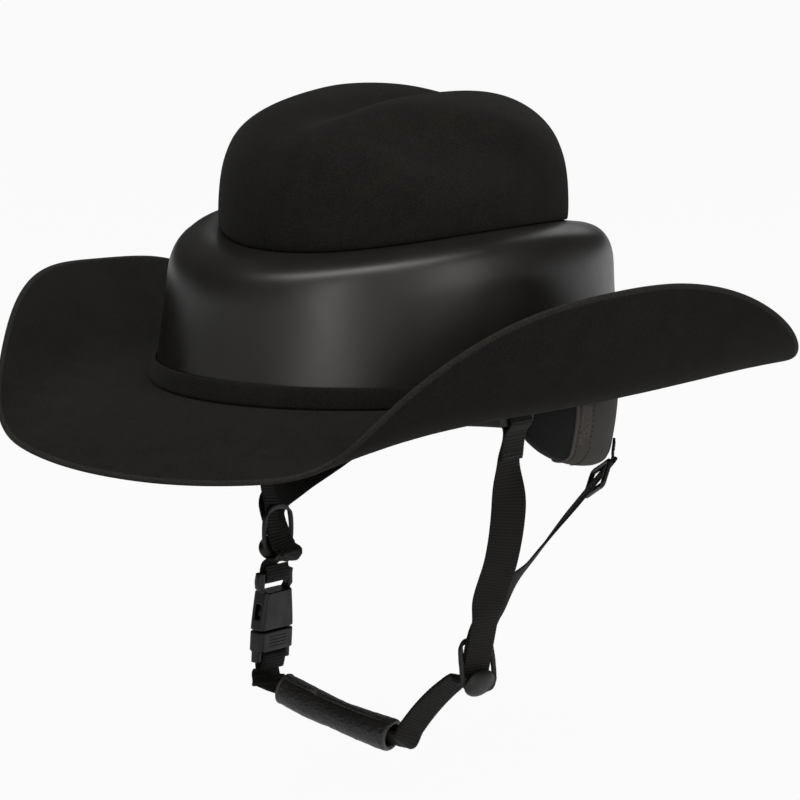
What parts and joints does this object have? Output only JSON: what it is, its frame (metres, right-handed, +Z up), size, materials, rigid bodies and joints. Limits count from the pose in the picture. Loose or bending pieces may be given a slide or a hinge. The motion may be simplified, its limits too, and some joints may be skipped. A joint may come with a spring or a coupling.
{
  "type": "western hat helmet",
  "caption": "Riding helmet shaped as a western hat: hard shell over a foam liner, creased felt crown, curled felt brim, padded nape skirt and chin harness with a side-release buckle.",
  "frame": {"origin": "centre of the head opening, in the plane where the shell stands on the brim", "axes": "+Z up through the crown, -Y towards the front of the hat, +X towards the wearer's left"},
  "size_m": [0.3833, 0.468, 0.3643],
  "materials": {
    "felt": "matt wool felt",
    "shell_plastic": "satin black",
    "foam": "moulded bead foam",
    "moulded_plastic": "fine texture",
    "rivet_steel": "blackened",
    "sweat_leather": "soft matt",
    "pad_fabric": "brushed knit",
    "hook_loop": "touch fastener",
    "nape_fabric": "smooth fabric with a mesh panel",
    "webbing": "ribbed webbing",
    "sleeve_fabric": "textured sleeve"
  },
  "bodies": {
    "helmet": {"outer_shell": "shell_plastic", "felt_crown": "felt", "brim": "felt", "hat_band": "felt", "foam_liner": "foam", "clamp_ring_upper": "moulded_plastic", "clamp_ring_lower": "moulded_plastic", "ring_rivets": "rivet_steel", "sweatband": "sweat_leather", "front_pad": "pad_fabric", "rear_pad": "pad_fabric", "side_pad_left": "pad_fabric", "side_pad_right": "pad_fabric", "crown_pad": "pad_fabric", "hook_loop_dots": "hook_loop", "nape_pad": "nape_fabric", "front_strap_left": "webbing", "front_strap_right": "webbing", "rear_strap_left": "webbing", "rear_strap_right": "webbing", "buckle_socket": "moulded_plastic"},
    "divider_left": {"divider_left": "moulded_plastic"},
    "divider_right": {"divider_right": "moulded_plastic"},
    "nape_glide_left": {"nape_glide_left": "moulded_plastic"},
    "nape_glide_right": {"nape_glide_right": "moulded_plastic"},
    "chin_strap": {"chin_strap": "webbing", "buckle_plug": "moulded_plastic"},
    "chin_pad": {"chin_pad": "sleeve_fabric"},
    "prong_front": {"prong_front": "moulded_plastic"},
    "prong_rear": {"prong_rear": "moulded_plastic"}
  },
  "joints": [
    {"name": "chin_strap_open", "type": "hinge", "parent": "helmet", "child": "chin_strap", "pos_m": [0.07582, -0.017, -0.16108], "axis": [0, -1, 0], "range_deg": [0, 80]},
    {"name": "divider_left_slide", "type": "slide", "parent": "helmet", "child": "divider_left", "axis": [0.2003, 0, 0.9797], "range_m": [0, 0.004]},
    {"name": "divider_right_slide", "type": "slide", "parent": "helmet", "child": "divider_right", "axis": [-0.4234, 0, 0.906], "range_m": [0, 0.004]},
    {"name": "nape_glide_left_slide", "type": "slide", "parent": "helmet", "child": "nape_glide_left", "axis": [-0.0623, -0.8195, -0.5697], "range_m": [0, 0.01]},
    {"name": "nape_glide_right_slide", "type": "slide", "parent": "helmet", "child": "nape_glide_right", "axis": [0.1615, -0.958, -0.2369], "range_m": [0, 0.01]},
    {"name": "chin_pad_slide", "type": "slide", "parent": "chin_strap", "child": "chin_pad", "axis": [-0.9742, -0.0801, 0.2109], "range_m": [0, 0.004]},
    {"name": "prong_rear_squeeze", "type": "hinge", "parent": "chin_strap", "child": "prong_rear", "pos_m": [-0.06721, -0.0136, -0.15679], "axis": [0.9984, 0, -0.0565], "range_deg": [0, 7], "stiffness_Nm_per_rad": 0.05},
    {"name": "prong_front_squeeze", "type": "hinge", "parent": "chin_strap", "child": "prong_front", "pos_m": [-0.06721, -0.0304, -0.15679], "axis": [0.9984, 0, -0.0565], "range_deg": [-7, 0], "stiffness_Nm_per_rad": 0.05}
  ],
  "couplings": [
    {"joint": "prong_front_squeeze", "follows": "prong_rear_squeeze", "ratio": -1}
  ]
}
